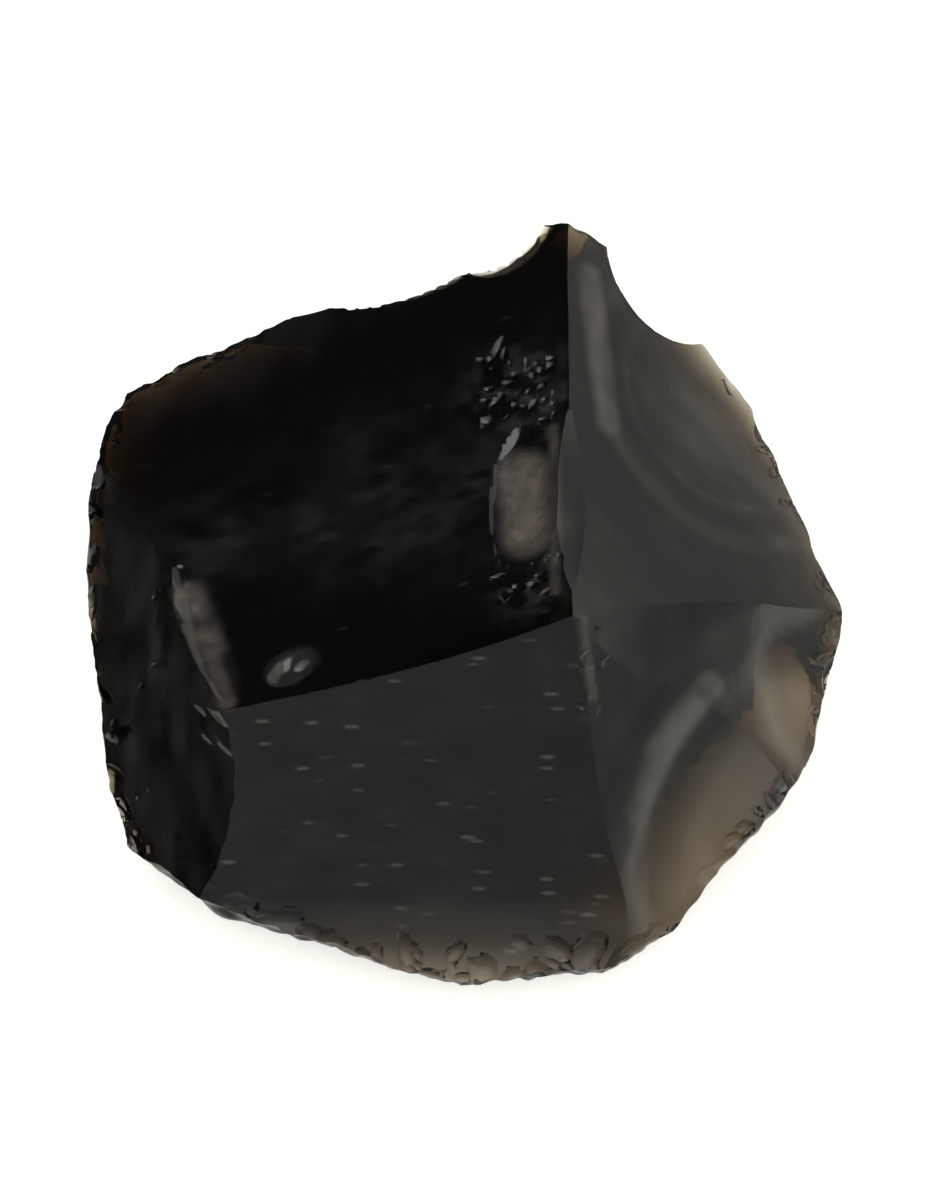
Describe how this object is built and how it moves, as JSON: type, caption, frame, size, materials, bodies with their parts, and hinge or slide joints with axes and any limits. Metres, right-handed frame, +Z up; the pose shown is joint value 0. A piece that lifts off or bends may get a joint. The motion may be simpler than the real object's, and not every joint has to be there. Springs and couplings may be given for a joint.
{
  "type": "obsidian chunk",
  "caption": "Free-standing piece of rough obsidian, broken from a larger lump: broad dished fracture faces above, a flat scar to rest on, and thin, see-through brown edges.",
  "frame": {"origin": "middle of the bounding box in X and Y, in the plane of the flat scar that it rests on", "axes": "+Z up from the resting scar; -Y towards the broad front face; +X towards the thin glassy tip"},
  "size_m": [0.054, 0.054, 0.0275],
  "materials": {
    "obsidian": "glassy"
  },
  "bodies": {
    "root": {"obsidian_chunk": "obsidian"}
  },
  "joints": []
}
